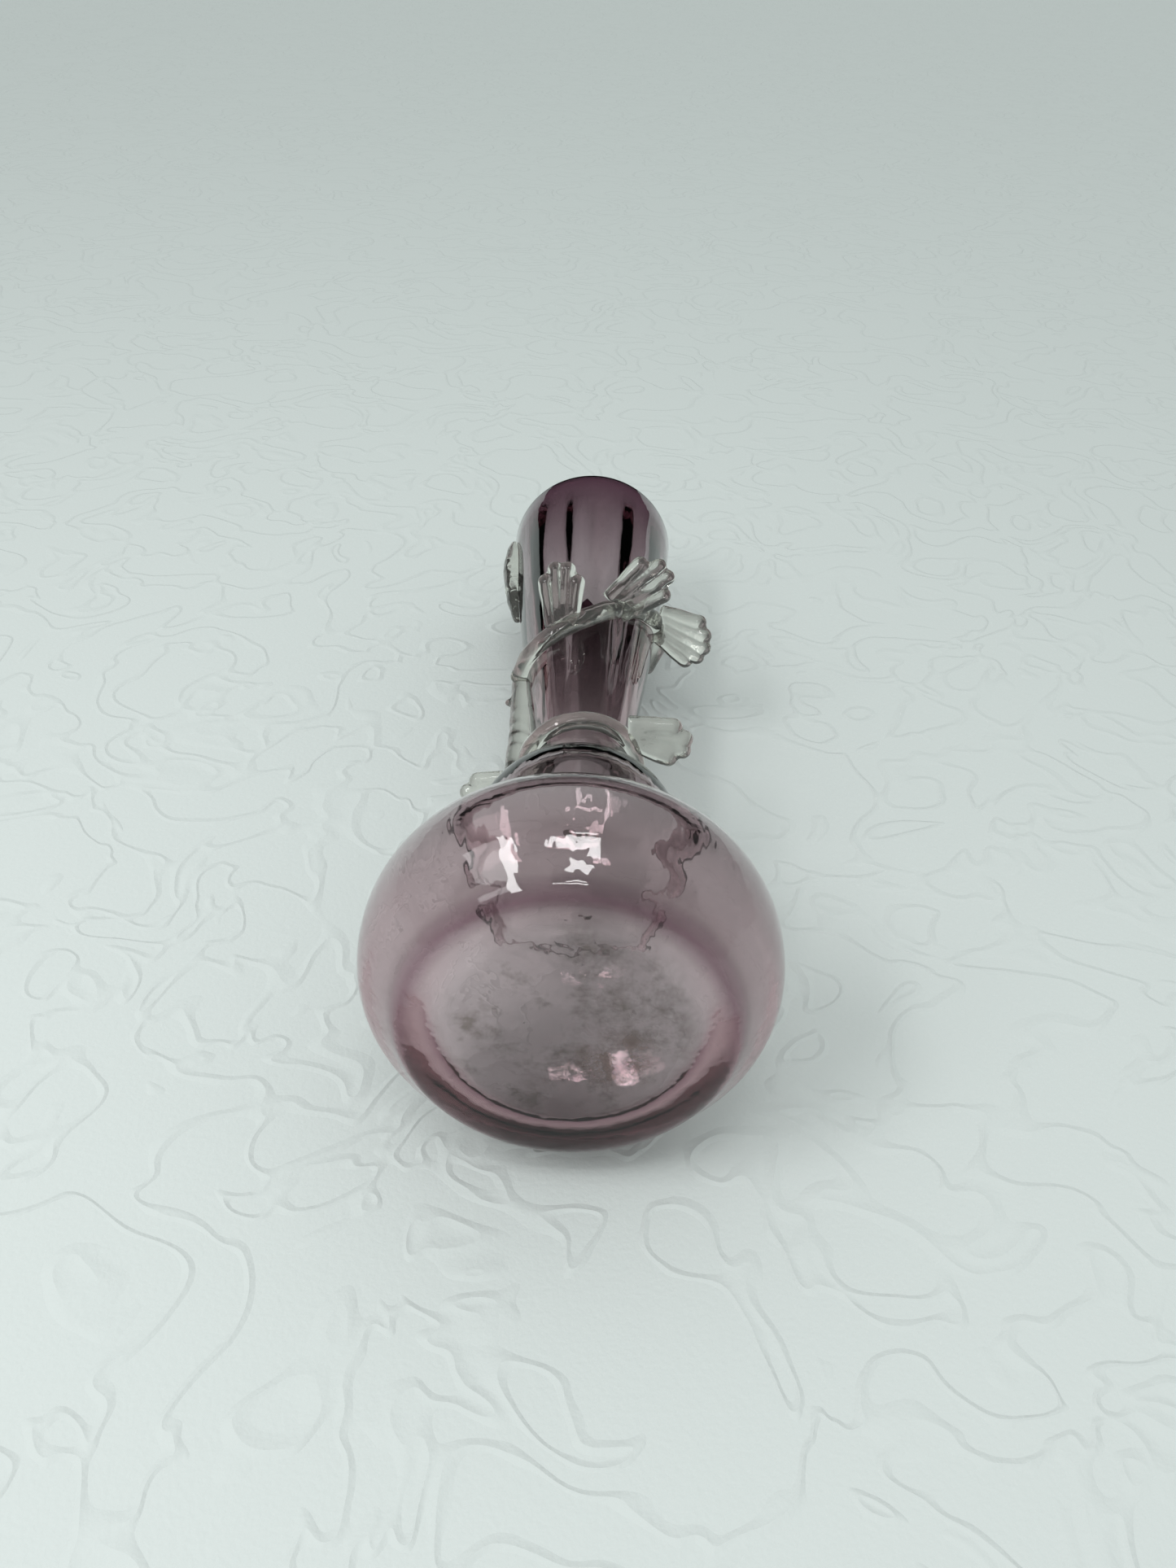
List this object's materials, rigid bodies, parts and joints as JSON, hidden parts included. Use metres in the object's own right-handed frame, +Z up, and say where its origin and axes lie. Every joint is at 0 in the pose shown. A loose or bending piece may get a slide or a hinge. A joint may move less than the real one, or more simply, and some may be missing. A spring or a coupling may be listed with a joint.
{
  "type": "glass bottle",
  "caption": "Antique blown amethyst glass bottle with squat globe, small shoulder bulb and tall flared neck, trimmed with a clear collar, winding vine and ribbed leaves.",
  "frame": {"origin": "centre of the flat base, on the surface the bottle stands on", "axes": "+Z up along the bottle's axis from base to mouth, -Y towards the front leaf, +X to the right leaf"},
  "size_m": [0.0838, 0.0838, 0.24],
  "materials": {
    "amethyst_glass": "fire polished",
    "clear_glass": "fire polished"
  },
  "bodies": {
    "root": {"bottle": "amethyst_glass", "neck_collar": "clear_glass", "vine_stem": "clear_glass", "vine_trail": "clear_glass", "neck_drop": "clear_glass", "front_leaf": "clear_glass", "slant_leaf": "clear_glass", "right_leaf": "clear_glass", "collar_leaf": "clear_glass", "low_leaf": "clear_glass"}
  },
  "joints": []
}
